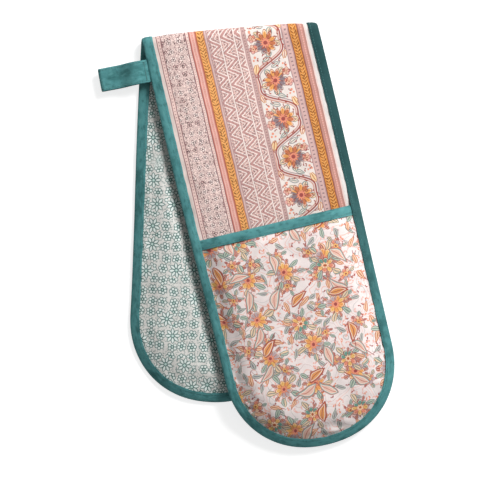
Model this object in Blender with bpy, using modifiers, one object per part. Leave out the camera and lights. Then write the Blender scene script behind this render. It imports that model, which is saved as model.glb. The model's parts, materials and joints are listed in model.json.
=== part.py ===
"""Double oven glove, folded over once and lying flat.

A padded strip has a hand pocket at each round end and a tape binding all round. It is
folded on a slightly skewed line, so its two halves fan out: the rear half lies on its
pocket, and the front half lies on the rear half with its pocket facing up. +Z is up,
+Y points from the pockets towards the fold, and the fold line runs along X.
"""

import math

import bmesh
import bpy
from mathutils import Vector

# Driving dimensions, in metres and degrees.
FRONT_LENGTH = 0.443  # fold line to the tip of the front half, along the strip
REAR_LENGTH = 0.387
FOLD_WIDTH = 0.188
END_WIDTH = 0.1785  # the padded pockets draw the strip in
END_LENGTH = 0.090  # the round end's part of a half
END_ROUNDNESS = 2.13  # exponent of the end's outline, where 2 is an ellipse
FOLD_SKEW = 8.2  # between a half's length and a square fold
TAPER_START = 0.020
POCKET_DEPTH = 0.2415
HAND_ROOM = 0.0058  # height of the empty hand pocket
POCKET_SHOULDER = 0.028  # the width over which the pocket rises from its seam

# Layers of cloth, tape and wadding.
CLOTH = 0.0008
TAPE = 0.0009
WADDING = 0.0030
POCKET_WADDING = 0.0024
SEWN_WADDING = 0.0008  # wadding pressed flat under a seam
SEWN_POCKET = 0.0020  # the pocket's three layers pressed flat under the binding
CLEARANCE = 0.0003
THINNING = 0.020  # the width over which a pad thins towards its binding

# Tape bindings.
BINDING_WIDTH = 0.0100
MOUTH_BAND = 0.0105

# How the folded glove lies.
FOLD_GAP = 0.0075  # between the lining's two sides inside the fold
LYING_GAP = 0.0018  # between the halves past the fold
LIFT_START = 0.012  # where the rear half leaves the table
REAR_SAG = 0.0040  # how far the rear half's edges hang below its middle
FRONT_SAG = 0.0090  # how far the front half sinks where the rear half isn't under it
FRONT_SAG_RUN = 0.090

# Hanging loop.
LOOP_WIDTH = 0.024
LOOP_REACH = 0.050
LOOP_PLACE = 0.0155  # its middle, along the front half from the fold
LOOP_TAPE = 0.0012
LOOP_GAP = 0.0056  # the eye's height
LOOP_ROOT_GAP = 0.0012
LOOP_SAG = 0.0060
TACK_INSET = 0.0045
TACK_WIDTH = 0.0020
TACK_MARGIN = 0.0020
TACK_HEIGHT = 0.0006

# How finely the cloth is divided.
COLUMNS = 16
LIFT_ROWS = 7
POCKET_ROWS = 7
BEND_ROWS = 8
PROFILE_STEPS = 6
LOOP_STEPS = 8
END_STEPS = 4

SINE = math.sin(math.radians(FOLD_SKEW))
COSINE = math.cos(math.radians(FOLD_SKEW))
LAYER = CLOTH + CLEARANCE
PAD = WADDING + 2 * LAYER
SEWN_PAD = SEWN_WADDING + 2 * LAYER
POCKET = POCKET_WADDING + 2 * LAYER
LIP = CLEARANCE + TAPE
BINDING_BULGE = SEWN_PAD / 2 + LIP  # how far the binding's round nose stands out
BEND_RADIUS = (PAD + FOLD_GAP) / 2
BEND_ARC = math.pi * BEND_RADIUS
REST_HEIGHT = max(PAD / 2, BINDING_BULGE)
AXIS_HEIGHT = REST_HEIGHT + BEND_RADIUS
RAISED_HEIGHT = PAD / 2 + HAND_ROOM + POCKET
FRONT_HEIGHT = RAISED_HEIGHT + PAD + LYING_GAP
LIFT_END = (REAR_LENGTH - POCKET_DEPTH) * COSINE - END_WIDTH / 2 * SINE
POCKET_INSET = BINDING_WIDTH + CLEARANCE
SEAM_ROOM = CLEARANCE + LIP  # takes the mouth's binding under the pocket's corners

INK = {
    "cover": ((0.80, 0.58, 0.52), 0.85),
    "pocket_cloth": ((0.85, 0.66, 0.56), 0.85),
    "lining": ((0.66, 0.68, 0.64), 0.85),
    "binding": ((0.06, 0.27, 0.27), 0.60),
    "wadding": ((0.90, 0.89, 0.85), 0.95),
    "thread": ((0.10, 0.32, 0.32), 0.70),
}


def mix(low, high, share):
    return low + (high - low) * share


def ease(share):
    """0 to 1 with level ends."""
    share = min(max(share, 0), 1)
    return share * share * (3 - 2 * share)


class Half:
    """One half of the strip, from the fold line to its round end.

    s runs along it from the middle of the fold line, u across it, and h stands off its
    middle surface towards the outer cover. d is the distance from the fold line.
    """

    def __init__(self, name, side, length):
        self.name = name
        self.side = side  # 1 is the front half, on top, and -1 the rear half
        self.length = length
        self.straight = length - END_LENGTH
        self.mouth = length - POCKET_DEPTH

    def half_width(self, s):
        share = ease((s - TAPER_START) / (self.straight - TAPER_START))
        return mix(FOLD_WIDTH, END_WIDTH, share) / 2

    def edge_distance(self, s, u):
        """How far a point lies inside the half's outline."""
        wide = self.half_width(s)
        across = abs(u) / wide
        along = max(0, s - self.straight) / END_LENGTH
        reach = (across**END_ROUNDNESS + along**END_ROUNDNESS) ** (1 / END_ROUNDNESS)
        return wide * (1 - reach)

    def fold_start(self, share, inset):
        """s on the fold line, at this share of the half width."""
        s = 0
        for _ in range(4):
            u = share * (self.half_width(s) - inset)
            s = (CLEARANCE / 2 + self.side * u * SINE) / COSINE
        return s

    def end(self, share, inset):
        """s on the round end, at this share of the half width."""
        rise = max(0, 1 - abs(share) ** END_ROUNDNESS) ** (1 / END_ROUNDNESS)
        return self.straight + (END_LENGTH - inset) * rise

    def station(self, share, row, inset):
        """(s, u) on one row of the half's cloth: LIFT_ROWS is at the pocket's mouth."""
        if row <= LIFT_ROWS:
            s = mix(self.fold_start(share, inset), self.mouth, row / LIFT_ROWS)
        else:
            down = tightening(row - LIFT_ROWS, POCKET_ROWS)
            s = mix(self.mouth, self.end(share, inset), down)
        return s, share * (self.half_width(s) - inset)

    def place(self, s, u):
        """(x, d) of a point of the strip."""
        x = self.side * (s * SINE + BEND_ARC / 2 * SINE / COSINE) + u * COSINE
        return x, s * COSINE - self.side * u * SINE

    def strip(self, x, d):
        """(s, u) of a point on the ground."""
        x -= self.side * BEND_ARC / 2 * SINE / COSINE
        return self.side * x * SINE + d * COSINE, x * COSINE - self.side * d * SINE

    def shoulder(self, s, u):
        """0 at the pocket's seam, rising to 1 over its level middle."""
        return ease((self.edge_distance(s, u) - POCKET_INSET) / POCKET_SHOULDER)

    def middle(self, s, u):
        """Height of the half's middle surface."""
        x, d = self.place(s, u)
        lifted = ease((d - LIFT_START) / (LIFT_END - LIFT_START))
        if self.side < 0:
            sag = REAR_SAG * (1 - self.shoulder(s, u)) * lifted
            return mix(REST_HEIGHT, RAISED_HEIGHT, lifted) - sag
        overhang = -REAR.edge_distance(*REAR.strip(x, d))
        sag = FRONT_SAG * ease(overhang / FRONT_SAG_RUN)
        return mix(AXIS_HEIGHT + BEND_RADIUS, FRONT_HEIGHT, lifted) - sag

    def point(self, s, u, h):
        x, d = self.place(s, u)
        return Vector((x, -d, self.middle(s, u) + self.side * h))

    def pad(self, s, u):
        """Thickness of the three base layers, thin under the binding."""
        share = ease((self.edge_distance(s, u) - BINDING_WIDTH) / THINNING)
        return mix(SEWN_PAD, PAD, share)

    def room(self, s, u):
        """Height of the hand pocket over the cover."""
        return mix(SEAM_ROOM, HAND_ROOM, self.shoulder(s, u))

    def pocket(self, s, u):
        """Thickness of the pocket's three layers, thin at its seam and its mouth."""
        inside = min(
            self.edge_distance(s, u) - POCKET_INSET, s - self.mouth - MOUTH_BAND
        )
        return mix(SEWN_PAD, POCKET, ease(inside / THINNING))


FRONT = Half("front", 1, FRONT_LENGTH)
REAR = Half("rear", -1, REAR_LENGTH)


class Model:
    """The collection, the empties that carry the bodies, and the materials."""

    def __init__(self):
        for old in list(bpy.data.objects):
            bpy.data.objects.remove(old)
        self.collection = bpy.data.collections.new("double_oven_glove")
        bpy.context.scene.collection.children.link(self.collection)
        self.bodies = {}
        self.pivots = {}
        self.materials = {name: self.material(name) for name in INK}

    def material(self, name):
        colour, roughness = INK[name]
        material = bpy.data.materials.new(name)
        material.use_nodes = True
        shader = material.node_tree.nodes["Principled BSDF"]
        shader.inputs["Base Color"].default_value = (*colour, 1)
        shader.inputs["Roughness"].default_value = roughness
        shader.inputs["Metallic"].default_value = 0
        return material

    def body(self, name, pivot, parent=None):
        """An empty on the body's joint axis."""
        empty = bpy.data.objects.new(f"{name}_pivot", None)
        self.collection.objects.link(empty)
        empty.location = pivot
        if parent:
            empty.parent = self.bodies[parent]
            empty.location = pivot - self.pivots[parent]
        self.bodies[name] = empty
        self.pivots[name] = pivot

    def sheet(self, name, body, material, grid, place, hem=""):
        """A closed sheet: a grid, given a hem, made solid and put in place.

        The hem is one more row of faces along the sides, or along the sides and the
        end. place takes the column, the row, 1 for the hem's outer edge, and 0 or 1 for
        the sheet's two faces.
        """
        across, along = grid
        bm = bmesh.new()
        bmesh.ops.create_grid(bm, x_segments=across, y_segments=along, size=1)
        for vertex in bm.verts:
            column = round((vertex.co.x + 1) / 2 * across)
            row = round((vertex.co.y + 1) / 2 * along)
            vertex.co = (column, row, 0)
        outer = bm.verts.layers.int.new("outer")
        rim = [edge for edge in bm.edges if has_hem(edge, grid, hem)]
        if rim:
            for item in bmesh.ops.extrude_edge_only(bm, edges=rim)["geom"]:
                if isinstance(item, bmesh.types.BMVert):
                    item[outer] = 1
        for item in bmesh.ops.extrude_face_region(bm, geom=bm.faces[:])["geom"]:
            if isinstance(item, bmesh.types.BMVert):
                item.co.z = 1
        for vertex in bm.verts:
            column, row, face = (round(value) for value in vertex.co)
            spot = place(column, row, vertex[outer], face)
            vertex.co = spot - self.pivots[body]
        bmesh.ops.recalc_face_normals(bm, faces=bm.faces[:])
        if bm.calc_volume(signed=True) < 0:
            bmesh.ops.reverse_faces(bm, faces=bm.faces[:])
        self.finish(bm, name, body, material)

    def finish(self, bm, name, body, material):
        mesh = bpy.data.meshes.new(name)
        bm.to_mesh(mesh)
        bm.free()
        mesh.materials.append(self.materials[material])
        mesh.shade_smooth()
        mesh.set_sharp_from_angle(angle=math.radians(40))
        node = bpy.data.objects.new(name, mesh)
        node.parent = self.bodies[body]
        self.collection.objects.link(node)
        return node


def has_hem(edge, grid, hem):
    (x0, y0, _), (x1, y1, _) = (vertex.co for vertex in edge.verts)
    on_side = "sides" in hem and x0 == x1 and x0 in (0, grid[0])
    on_end = "end" in hem and y0 == y1 == grid[1]
    return on_side or on_end


def tightening(step, steps):
    """0 to 1 over the steps, which grow shorter towards the last."""
    return math.sin(step / steps * math.pi / 2)


def across_share(column):
    """-1 to 1 over the columns, which grow narrower towards the edges."""
    return tightening(2 * column - COLUMNS, COLUMNS)


def edge_station(half, step, inset):
    """(s, u) on one step of the half's outline: down its left side, round, and up."""
    rows = LIFT_ROWS + POCKET_ROWS
    if step <= rows:
        return half.station(-1, step, inset)
    if step >= rows + COLUMNS:
        return half.station(1, 2 * rows + COLUMNS - step, inset)
    return half.station(across_share(step - rows), rows, inset)


def hem_inset(outer):
    return BINDING_BULGE if outer else BINDING_WIDTH


BASE_LAYERS = (
    ("outer_cover", "cover", lambda pad: (pad / 2 - CLOTH, pad / 2)),
    ("wadding", "wadding", lambda pad: (LAYER - pad / 2, pad / 2 - LAYER)),
    ("lining", "lining", lambda pad: (-pad / 2, CLOTH - pad / 2)),
)
POCKET_LAYERS = (
    ("lining", "lining", lambda pocket: (0, CLOTH)),
    ("wadding", "wadding", lambda pocket: (LAYER, pocket - LAYER)),
    ("panel", "pocket_cloth", lambda pocket: (pocket - CLOTH, pocket)),
)


def make_base(model, half, body):
    """Cover, wadding and lining, whose edges lie inside the binding."""
    for name, material, faces in BASE_LAYERS:

        def place(column, row, outer, face, faces=faces):
            s, u = half.station(across_share(column), row, hem_inset(outer))
            return half.point(s, u, faces(half.pad(s, u))[face])

        grid = (COLUMNS, LIFT_ROWS + POCKET_ROWS)
        name = f"{half.name}_{name}"
        model.sheet(name, body, material, grid, place, hem="sides and end")


def nose(step, low, high, face):
    """(inset, h) round a binding's section: in along a lip, round the nose and back.

    low and high are the heights of what it wraps, and face 0 is the tape's inner face.
    """
    reach = TAPE * face
    low -= CLEARANCE + reach
    high += CLEARANCE + reach
    if step == 0:
        return BINDING_WIDTH, low
    if step == PROFILE_STEPS:
        return BINDING_WIDTH, high
    angle = math.pi * (step - 1) / (PROFILE_STEPS - 2) - math.pi / 2
    inset = BINDING_BULGE - (BINDING_BULGE - TAPE + reach) * math.cos(angle)
    return inset, mix(low, high, (1 + math.sin(angle)) / 2)


def make_binding(model, half, body):
    """The tape round the half's edge. Along the pocket it also wraps the pocket's edge."""
    steps = 2 * (LIFT_ROWS + POCKET_ROWS) + COLUMNS

    def place(column, row, outer, face):
        from_fold = min(row, steps - row)
        pocket_share = ease(from_fold - LIFT_ROWS + 1)
        high = SEWN_PAD / 2 + (SEWN_POCKET + CLEARANCE) * pocket_share
        inset, h = nose(column, -SEWN_PAD / 2, high, face)
        return half.point(*edge_station(half, row, inset), h)

    name = f"{half.name}_edge_binding"
    model.sheet(name, body, "binding", (PROFILE_STEPS, steps), place)


def make_seam_margin(model, half, body):
    """The pocket's sewn margin under the binding, from one end of the mouth to the other."""
    steps = 2 * POCKET_ROWS + COLUMNS

    def place(column, row, outer, face):
        h = SEWN_PAD / 2 + CLEARANCE + SEWN_POCKET * face
        return half.point(*edge_station(half, LIFT_ROWS + row, hem_inset(column)), h)

    name = f"{half.name}_pocket_margin"
    model.sheet(name, body, "pocket_cloth", (1, steps), place)


def pocket_station(half, column, row):
    """(s, u) on the pocket, whose first two rows lie under the mouth's band."""
    share = across_share(column)
    if row == 0:
        s = half.mouth + BINDING_BULGE
    else:
        down = tightening(row - 1, POCKET_ROWS)
        s = mix(half.mouth + MOUTH_BAND, half.end(share, POCKET_INSET), down)
    return s, share * (half.half_width(s) - POCKET_INSET)


def make_pocket(model, half, body):
    """Panel, wadding and lining of the hand pocket, which lie free of the base."""
    for name, material, faces in POCKET_LAYERS:

        def place(column, row, outer, face, faces=faces):
            s, u = pocket_station(half, column, row)
            floor = half.pad(s, u) / 2 + half.room(s, u)
            return half.point(s, u, floor + faces(half.pocket(s, u))[face])

        name = f"{half.name}_pocket_{name}"
        model.sheet(name, body, material, (COLUMNS, POCKET_ROWS + 1), place)


def make_mouth_binding(model, half, body):
    """The tape over the pocket's mouth, straight across the strip."""

    def place(column, row, outer, face):
        u = across_share(row) * (half.half_width(half.mouth) - POCKET_INSET)
        floor = half.pad(half.mouth, u) / 2 + half.room(half.mouth, u)
        inset, h = nose(column, floor, floor + SEWN_PAD, face)
        if column in (0, PROFILE_STEPS):
            inset = MOUTH_BAND
        return half.point(half.mouth + inset, u, h)

    name = f"{half.name}_mouth_binding"
    model.sheet(name, body, "binding", (PROFILE_STEPS, COLUMNS), place)


def bend_point(row, share, inset, h):
    """A point of the fold. The rows run from the rear half round to the front half."""
    turn = (2 * row / BEND_ROWS - 1) * (1 - CLEARANCE / BEND_ARC)
    angle = turn * math.pi / 2
    across = share * (FOLD_WIDTH / 2 - inset)
    x = (across + angle * BEND_RADIUS * SINE) / COSINE
    y = (BEND_RADIUS + h) * math.cos(angle)
    z = AXIS_HEIGHT + (BEND_RADIUS + h) * math.sin(angle)
    return Vector((x, y, z))


def make_fold(model, body):
    """The stretch of each layer, and of both bindings, that goes round the fold."""
    for name, material, faces in BASE_LAYERS:

        def place(column, row, outer, face, faces=faces):
            share = across_share(column)
            inset = hem_inset(outer)
            inside = (1 - abs(share)) * (FOLD_WIDTH / 2 - BINDING_WIDTH)
            pad = mix(SEWN_PAD, PAD, ease(inside / THINNING))
            return bend_point(row, share, inset, faces(pad)[face])

        grid = (COLUMNS, BEND_ROWS)
        model.sheet(f"fold_{name}", body, material, grid, place, hem="sides")

    for name, side in (("left", -1), ("right", 1)):

        def wrap(column, row, outer, face, side=side):
            inset, h = nose(column, -SEWN_PAD / 2, SEWN_PAD / 2, face)
            return bend_point(row, side, inset, h)

        name = f"fold_binding_{name}"
        model.sheet(name, body, "binding", (PROFILE_STEPS, BEND_ROWS), wrap)


def loop_frame():
    """(root, outward, along) of the hanging loop on the front half's left edge."""
    root = FRONT.point(LOOP_PLACE, -FRONT.half_width(LOOP_PLACE), 0)
    return root, Vector((-COSINE, -SINE, 0)), Vector((SINE, -COSINE, 0))


def loop_level(share):
    """(height, half opening) of the loop's tapes, from its root to its far end."""
    spread = ease(2 * share)
    half_open = (mix(LOOP_ROOT_GAP, LOOP_GAP, spread) + LOOP_TAPE) / 2
    return -LOOP_SAG * ease(share), half_open


def loop_pivot():
    """The loop swings up about the upper corner of its root, clear of the binding."""
    root, outward, _ = loop_frame()
    lift = LOOP_ROOT_GAP / 2 + LOOP_TAPE
    return root + outward * CLEARANCE + Vector((0, 0, lift))


def make_loop(model, body):
    """A tape folded on itself: out along the bottom, round the far end and back."""
    root, outward, along = loop_frame()
    radius = (LOOP_GAP + LOOP_TAPE) / 2
    bend = LOOP_REACH - radius - LOOP_TAPE / 2
    path = []
    for step in range(LOOP_STEPS + 1):
        level, half_open = loop_level(step / LOOP_STEPS)
        path.append((mix(CLEARANCE, bend, step / LOOP_STEPS), level, half_open))
    lower = [(out, level - half_open) for out, level, half_open in path]
    upper = [(out, level + half_open) for out, level, half_open in reversed(path)]
    turns = [math.pi * (step / END_STEPS - 1 / 2) for step in range(1, END_STEPS)]
    nose_end = [
        (bend + radius * math.cos(turn), radius * math.sin(turn) - LOOP_SAG)
        for turn in turns
    ]
    outline = lower + nose_end + upper
    bm = bmesh.new()
    bmesh.ops.create_grid(bm, x_segments=1, y_segments=len(outline) - 1, size=1)
    for vertex in bm.verts:
        out, high = outline[round((vertex.co.y + 1) / 2 * (len(outline) - 1))]
        side = along * vertex.co.x * LOOP_WIDTH / 2
        spot = root + outward * out + side + Vector((0, 0, high))
        vertex.co = spot - model.pivots[body]
    loop = model.finish(bm, "hanging_loop", body, "binding")
    shell = loop.modifiers.new("tape", "SOLIDIFY")
    shell.thickness = LOOP_TAPE
    shell.offset = 0
    shell.use_even_offset = True


def make_bar_tack(model, body):
    """The raised stitches that hold the loop, across its upper layer near the root."""
    root, outward, along = loop_frame()
    bend = LOOP_REACH - LOOP_GAP / 2 - LOOP_TAPE

    def place(column, row, outer, face):
        out = TACK_INSET + TACK_WIDTH * column
        share = (out - CLEARANCE) / (bend - CLEARANCE)
        level, half_open = loop_level(share)
        high = level + half_open + LOOP_TAPE / 2 + CLEARANCE + TACK_HEIGHT * face
        side = along * (2 * row - 1) * (LOOP_WIDTH / 2 - TACK_MARGIN)
        return root + outward * out + side + Vector((0, 0, high))

    model.sheet("loop_bar_tack", body, "thread", (1, 1), place)


def pocket_pivot(half):
    """The pocket opens about the highest part of its seam, at its tip."""
    rim = []
    for column in range(COLUMNS + 1):
        s, u = pocket_station(half, column, POCKET_ROWS + 1)
        rim.append(half.point(s, u, half.pad(s, u) / 2 + SEAM_ROOM + SEWN_PAD))
    tip = rim[COLUMNS // 2]
    tip.z = half.side * max(half.side * spot.z for spot in rim)
    return tip


def rest_on_table(model):
    """Moves the glove so that the origin is under the middle of its box, on the table."""
    bpy.context.view_layer.update()
    corners = [
        node.matrix_world @ vertex.co
        for node in model.collection.objects
        if node.type == "MESH"
        for vertex in node.data.vertices
    ]
    low = Vector([min(corner[axis] for corner in corners) for axis in range(3)])
    high = Vector([max(corner[axis] for corner in corners) for axis in range(3)])
    centre = (low + high) / 2
    model.bodies["rear_pocket"].location -= Vector((centre.x, centre.y, low.z))
    bpy.context.view_layer.update()


def main():
    model = Model()
    model.body("rear_pocket", pocket_pivot(REAR))
    model.body("rear_half", pocket_pivot(REAR), "rear_pocket")
    model.body("front_half", Vector((0, 0, AXIS_HEIGHT)), "rear_half")
    model.body("front_pocket", pocket_pivot(FRONT), "front_half")
    model.body("loop", loop_pivot(), "front_half")
    for half in (REAR, FRONT):
        make_base(model, half, f"{half.name}_half")
        make_binding(model, half, f"{half.name}_half")
        make_seam_margin(model, half, f"{half.name}_half")
        make_pocket(model, half, f"{half.name}_pocket")
        make_mouth_binding(model, half, f"{half.name}_pocket")
    make_fold(model, "rear_half")
    make_loop(model, "loop")
    make_bar_tack(model, "loop")
    rest_on_table(model)
    for name, empty in model.bodies.items():
        print(name, [round(value, 6) for value in empty.matrix_world.translation])


main()
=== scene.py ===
"""Looks of a folded double oven glove: padded halves, hand pockets, tape and a loop."""

import inspect
import json
import math

import bpy
import numpy as np
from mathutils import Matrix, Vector


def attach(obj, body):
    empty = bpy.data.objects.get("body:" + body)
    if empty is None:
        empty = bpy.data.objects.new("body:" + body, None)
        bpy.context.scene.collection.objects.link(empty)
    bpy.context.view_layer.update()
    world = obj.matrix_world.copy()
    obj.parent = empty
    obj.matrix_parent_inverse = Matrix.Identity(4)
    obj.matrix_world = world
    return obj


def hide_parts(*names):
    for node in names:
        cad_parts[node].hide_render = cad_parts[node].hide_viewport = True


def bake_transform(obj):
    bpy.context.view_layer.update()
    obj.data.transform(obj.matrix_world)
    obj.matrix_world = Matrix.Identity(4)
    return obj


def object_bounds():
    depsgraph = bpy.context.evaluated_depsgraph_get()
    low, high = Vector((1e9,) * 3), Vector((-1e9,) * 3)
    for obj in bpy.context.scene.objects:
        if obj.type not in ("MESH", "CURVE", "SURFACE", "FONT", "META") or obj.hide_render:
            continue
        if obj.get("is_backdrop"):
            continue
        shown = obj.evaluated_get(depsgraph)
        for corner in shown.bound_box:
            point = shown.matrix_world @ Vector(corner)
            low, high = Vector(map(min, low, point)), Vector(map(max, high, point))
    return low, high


# Sizes that the CAD model gives, in metres and degrees.
FRONT_LENGTH = 0.443
REAR_LENGTH = 0.387
FOLD_WIDTH = 0.188
END_WIDTH = 0.1785
END_LENGTH = 0.090
END_ROUNDNESS = 2.13
FOLD_SKEW = 8.2
TAPER_START = 0.020
POCKET_DEPTH = 0.2415
HAND_ROOM = 0.0058
POCKET_SHOULDER = 0.028
PAD = 0.0052
SEWN_PAD = 0.0030
POCKET = 0.0046
SEWN_POCKET = 0.0020
THINNING = 0.020
LIP = 0.0012
CLEARANCE = 0.0003
BINDING_WIDTH = 0.0100
BINDING_BULGE = 0.0027
MOUTH_BAND = 0.0105
BEND_RADIUS = 0.00635
AXIS_HEIGHT = 0.00905
REST_HEIGHT = 0.0027
RAISED_HEIGHT = 0.0130
FRONT_HEIGHT = 0.0200
LIFT_START = 0.012
REAR_SAG = 0.0040
FRONT_SAG = 0.0090
FRONT_SAG_RUN = 0.090
LOOP_WIDTH = 0.024
LOOP_REACH = 0.050
LOOP_PLACE = 0.0155
LOOP_TAPE = 0.0012
LOOP_GAP = 0.0056
LOOP_ROOT_GAP = 0.0012
LOOP_SAG = 0.0060
TACK_INSET = 0.0045
TACK_WIDTH = 0.0020
TACK_MARGIN = 0.0020

SINE = math.sin(math.radians(FOLD_SKEW))
COSINE = math.cos(math.radians(FOLD_SKEW))
BEND_ARC = math.pi * BEND_RADIUS
POCKET_INSET = BINDING_WIDTH + CLEARANCE
SEAM_ROOM = CLEARANCE + LIP
LIFT_END = (REAR_LENGTH - POCKET_DEPTH) * COSINE - END_WIDTH / 2 * SINE

# How the sewn cloth moves away from the plain shape.
FOLD_FADE = 0.020  # small waves in the cloth start over this length from the fold
SWELL = 0.0006
SWELL_LENGTH = 0.062
SWELL_START = 0.010  # from the fold line
SWELL_RUN = 0.050
PUCKER = 0.00065
PUCKER_LENGTH = 0.013
PUCKER_REACH = 0.012
PUCKER_START = 0.003
POCKET_WAVE = 0.0005
POCKET_WAVE_LENGTH = 0.045
EDGE_DROOP = 0.0042
DROOP_REACH = 0.0140
DROOP_START = 0.005  # from the fold line
DROOP_RUN = 0.045
OVERHANG_RUN = 0.030  # past the rear half, the front half's edge comes to hang down
PRESS = 0.0055  # how deep the front half presses into the rear half
PRESS_RUN = 0.017
FOLD_BULGE = 0.0016
RIGHT_FOLD = 0.970  # each side's width beside the CAD model's, at the fold
LEFT_FOLD = 0.995
RIGHT_END = 1.016  # and at the front half's end
LEFT_END = 1.012
RIGHT_RUN = 0.30  # the length over which the front half's sides change
LEFT_RUN = 0.25
WIDTH_RUN = 0.15  # over which the fold's width fades out of the rear half
TUCK = 0.0078  # how far from the edge the pocket ends, under the tape
TUCKED_POCKET = 0.0013
SEAM_RUN = 0.010  # over which the pocket's lining comes up from its seam
MOUTH_EDGE = 0.0006  # the pocket's thickness inside the mouth's tape
MOUTH_TUCKED = 0.0012  # what the mouth's tape wraps, at its tucked end
MOUTH_RUN = 0.012  # over which the mouth's tape grows from its tucked end
MOUTH_PRESS = 0.8  # how far that end is pressed together
MOUTH_WAVE = 0.00015
MOUTH_WAVE_LENGTH = 0.016
MOUTH_LUMP = 0.0007  # on the edge tape, over the mouth tape's end
LUMP_PLACE = 0.006
LUMP_REACH = 0.008
POCKET_START = 0.016  # before the mouth, the edge tape grows to take the pocket in
FOLD_TAPE = 0.0109  # the tape's width at the fold, and then at the round end
END_TAPE = 0.0094
TAPE_TAPER = 0.27
REAR_TAPE = 1.06  # the rear half's tape lies a little wider
TAPE_WAVE = 0.00022  # how unevenly wide the tape lies
TAPE_WAVE_LENGTH = 0.017
TAPE_PUFF = 0.06  # the same for its thickness, as a share
TAPE_PUFF_LENGTH = 0.011
EDGE_FULLNESS = 2.4  # exponent of the tape's rounded section
JOIN = 0.0320  # where the front edge tape's two ends are sewn together
JOIN_DENT = 0.20
JOIN_CREASE = 0.0007
JOIN_LUMP = 0.22
JOIN_STEP = 0.0012
JOIN_FADE = 0.012
LOOP_HUMP = 0.0014  # how far the loop's upper layer bulges
LOOP_SLACK = 0.0032  # how much longer the loop lies than in the CAD model
LOOP_TURN = 2.4  # degrees off square, towards the fold
LOOP_SHIFT = 0.0012
LOOP_TUCK = 0.0021  # how far the root lies under the tape's nose
TUCK_RUN = 0.30  # these five are shares of the loop's length
SAG_START = 0.36
SAG_RUN = 0.34
HUMP_PLACE = 0.24
HUMP_REACH = 0.13
GROOVE_PLACE = 0.80  # along each row of stitches, as shares of half the width
GROOVE_REACH = 0.05
GROOVE_DEPTH = 0.22  # and of half the thickness
LOOP_WAVE = 0.00012
LOOP_WAVE_LENGTH = 0.012
TABLE_CLEARANCE = 0.0001
STITCH_DIP = 0.0003  # how deep the stitches pull the tape in
STITCH_PITCH = 0.0031
STITCH_LENGTH = 0.0023
STITCH_WIDTH = 0.0005
TACK_PITCH = 0.00055

# How finely the pieces are divided.
COLUMNS = 96
FLAP_ROWS = 60
END_ROWS = 78
BEND_ROWS = 28
SIDE_STEPS = 130
TIP_STEPS = 90
JOIN_STEPS = 24
LIP_STEPS = 9
LOOP_STEPS = 30

# The places of the stitches in a tape's section.
EDGE_STITCHES = (3, 19)
MOUTH_STITCHES = (19,)
LOOP_STITCHES = (27, 47)

# The photograph's framing: the look-at point, the camera's roll and the frame's width.
CENTRE = (-0.0002, -0.0104)
ROLL = 5.06
FRAME_WIDTH = 0.5277
CAMERA_HEIGHT = 2.0
LOOK_HEIGHT = 0.018
SENSOR = 36.0

# Light and floor.
FLOOR_REACH = 3
FLOOR_GLOW = 0.73
ROOM_LIGHT = 0.24
KEY_PLACE = (1.0, 1.05, 1.2)
KEY_SIZE = 0.8
KEY_POWER = 42.5


def mix(low, high, share):
    return low + (high - low) * share


def ease(share):
    """0 to 1 with level ends."""
    share = np.clip(share, 0, 1)
    return share * share * (3 - 2 * share)


def waves(x, y, length, seed):
    """Smooth irregular waves of about this length, mostly between -1 and 1."""
    chance = np.random.default_rng(seed)
    total = 0
    for _ in range(7):
        turn = chance.uniform(0, math.pi)
        size = 2 * math.pi / (length * chance.uniform(0.7, 1.5))
        phase = chance.uniform(0, 2 * math.pi)
        total = total + np.sin(size * (x * math.cos(turn) + y * math.sin(turn)) + phase)
    return total / 3.2


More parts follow.
